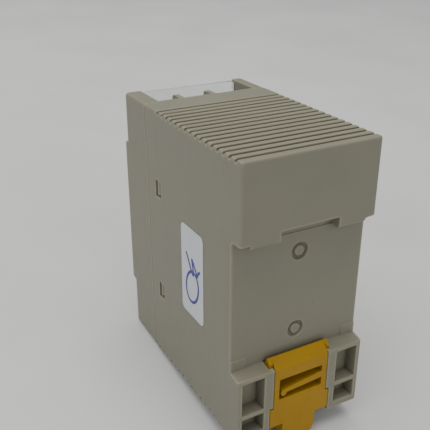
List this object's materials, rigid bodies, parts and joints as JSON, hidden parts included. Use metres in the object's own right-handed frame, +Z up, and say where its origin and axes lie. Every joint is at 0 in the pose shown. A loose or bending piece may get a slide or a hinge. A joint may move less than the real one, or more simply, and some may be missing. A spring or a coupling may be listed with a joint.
{
  "type": "din rail power supply",
  "caption": "Slim beige rail-mount power supply with ribbed roof, rear rail hook, yellow sliding clip, and screw terminals under clear hinged flaps.",
  "frame": {"origin": "on the rail seat, the rear channel face, half way up the rail and half way across the case", "axes": "+Z up along the rail clip travel towards the hook, +Y out of the rear face towards the rail, +X across the case along the rail"},
  "size_m": [0.0377, 0.0657, 0.0806],
  "materials": {
    "case": "beige-grey moulded plastic with a fine texture",
    "clip": "yellow moulded plastic, slightly glossy",
    "clear": "clear moulded plastic",
    "paper": "matt white sticker with a pen mark",
    "label": "silver-grey printed film, left blank",
    "block": "black filled nylon",
    "plated": "nickel-plated steel and brass",
    "board": "green solder mask over glass laminate",
    "ferrite": "dark grey sintered ferrite",
    "tape": "yellow polyester tape",
    "copper": "enamelled copper wire",
    "sleeve": "blue shrink sleeve",
    "heatsink": "mill-finished sheet",
    "moulding": "black moulded epoxy and plastic",
    "pale_moulding": "off-white moulded plastic",
    "ceramic": "unglazed white ceramic with metal caps",
    "film_box": "yellow-orange box with resin fill",
    "lamp": "green tinted clear epoxy",
    "adjuster": "blue moulded plastic",
    "thermistor": "green coated disc",
    "insulation": "pale insulating film"
  },
  "bodies": {
    "case": {"rear_case": "case", "front_cover": "case", "side_sticker": "paper", "front_label": "label", "upper_terminal_block": "block", "lower_terminal_block": "block", "upper_contact_1": "plated", "upper_contact_2": "plated", "upper_contact_3": "plated", "lower_contact_1": "plated", "lower_contact_2": "plated", "lower_contact_3": "plated", "main_board": "board", "indicator_board": "board", "transformer_core_front": "ferrite", "transformer_core_rear": "ferrite", "choke_core": "ferrite", "output_inductor": "ferrite", "transformer_winding": "tape", "choke_winding_1": "copper", "choke_winding_2": "copper", "input_capacitor": "sleeve", "output_capacitor_1": "sleeve", "output_capacitor_2": "sleeve", "switch_heatsink": "heatsink", "diode_heatsink": "heatsink", "switch_screw": "heatsink", "diode_screw": "heatsink", "link_header": "moulding", "transformer_bobbin": "moulding", "switch_transistor": "moulding", "output_diode": "moulding", "bridge_rectifier": "moulding", "control_chip": "moulding", "optocoupler": "pale_moulding", "fuse": "ceramic", "film_capacitor": "film_box", "power_lamp": "lamp", "adjuster_body": "adjuster", "thermistor": "thermistor", "insulation_sheet": "insulation"},
    "rail_clip": {"rail_clip": "clip"},
    "upper_flap": {"upper_flap": "clear"},
    "lower_flap": {"lower_flap": "clear"},
    "adjuster_rotor": {"adjuster_rotor": "pale_moulding"},
    "upper_clamp_1": {"upper_clamp_1": "plated"},
    "upper_screw_1": {"upper_screw_1": "plated"},
    "upper_clamp_2": {"upper_clamp_2": "plated"},
    "upper_screw_2": {"upper_screw_2": "plated"},
    "upper_clamp_3": {"upper_clamp_3": "plated"},
    "upper_screw_3": {"upper_screw_3": "plated"},
    "lower_clamp_1": {"lower_clamp_1": "plated"},
    "lower_screw_1": {"lower_screw_1": "plated"},
    "lower_clamp_2": {"lower_clamp_2": "plated"},
    "lower_screw_2": {"lower_screw_2": "plated"},
    "lower_clamp_3": {"lower_clamp_3": "plated"},
    "lower_screw_3": {"lower_screw_3": "plated"}
  },
  "joints": [
    {"name": "rail_clip_slide", "type": "slide", "parent": "case", "child": "rail_clip", "axis": [0, 0, -1], "range_m": [0, 0.003], "stiffness_N_per_m": 1500},
    {"name": "upper_flap_hinge", "type": "hinge", "parent": "case", "child": "upper_flap", "pos_m": [0, -0.0585, 0.02475], "axis": [1, 0, 0], "range_deg": [0, 100]},
    {"name": "lower_flap_hinge", "type": "hinge", "parent": "case", "child": "lower_flap", "pos_m": [0, -0.0585, -0.02375], "axis": [-1, 0, 0], "range_deg": [0, 100]},
    {"name": "adjuster_turn", "type": "hinge", "parent": "case", "child": "adjuster_rotor", "pos_m": [0.009, -0.0612, -0.0145], "axis": [0, -1, 0], "range_deg": [-135, 135]},
    {"name": "upper_clamp_1_travel", "type": "slide", "parent": "case", "child": "upper_clamp_1", "axis": [0, -1, 0], "range_m": [0, 0.0018]},
    {"name": "upper_screw_1_turn", "type": "hinge", "parent": "upper_clamp_1", "child": "upper_screw_1", "pos_m": [0.01, -0.0542, 0.0287], "axis": [0, -1, 0], "range_deg": [0, 1080]},
    {"name": "upper_clamp_2_travel", "type": "slide", "parent": "case", "child": "upper_clamp_2", "axis": [0, -1, 0], "range_m": [0, 0.0018]},
    {"name": "upper_screw_2_turn", "type": "hinge", "parent": "upper_clamp_2", "child": "upper_screw_2", "pos_m": [0, -0.0542, 0.0287], "axis": [0, -1, 0], "range_deg": [0, 1080]},
    {"name": "upper_clamp_3_travel", "type": "slide", "parent": "case", "child": "upper_clamp_3", "axis": [0, -1, 0], "range_m": [0, 0.0018]},
    {"name": "upper_screw_3_turn", "type": "hinge", "parent": "upper_clamp_3", "child": "upper_screw_3", "pos_m": [-0.01, -0.0542, 0.0287], "axis": [0, -1, 0], "range_deg": [0, 1080]},
    {"name": "lower_clamp_1_travel", "type": "slide", "parent": "case", "child": "lower_clamp_1", "axis": [0, -1, 0], "range_m": [0, 0.0018]},
    {"name": "lower_screw_1_turn", "type": "hinge", "parent": "lower_clamp_1", "child": "lower_screw_1", "pos_m": [0.01, -0.0542, -0.0277], "axis": [0, -1, 0], "range_deg": [0, 1080]},
    {"name": "lower_clamp_2_travel", "type": "slide", "parent": "case", "child": "lower_clamp_2", "axis": [0, -1, 0], "range_m": [0, 0.0018]},
    {"name": "lower_screw_2_turn", "type": "hinge", "parent": "lower_clamp_2", "child": "lower_screw_2", "pos_m": [0, -0.0542, -0.0277], "axis": [0, -1, 0], "range_deg": [0, 1080]},
    {"name": "lower_clamp_3_travel", "type": "slide", "parent": "case", "child": "lower_clamp_3", "axis": [0, -1, 0], "range_m": [0, 0.0018]},
    {"name": "lower_screw_3_turn", "type": "hinge", "parent": "lower_clamp_3", "child": "lower_screw_3", "pos_m": [-0.01, -0.0542, -0.0277], "axis": [0, -1, 0], "range_deg": [0, 1080]}
  ],
  "couplings": [
    {"joint": "upper_screw_1_turn", "follows": "upper_clamp_1_travel", "rad_per_m": 10472},
    {"joint": "upper_screw_2_turn", "follows": "upper_clamp_2_travel", "rad_per_m": 10472},
    {"joint": "upper_screw_3_turn", "follows": "upper_clamp_3_travel", "rad_per_m": 10472},
    {"joint": "lower_screw_1_turn", "follows": "lower_clamp_1_travel", "rad_per_m": 10472},
    {"joint": "lower_screw_2_turn", "follows": "lower_clamp_2_travel", "rad_per_m": 10472},
    {"joint": "lower_screw_3_turn", "follows": "lower_clamp_3_travel", "rad_per_m": 10472}
  ]
}
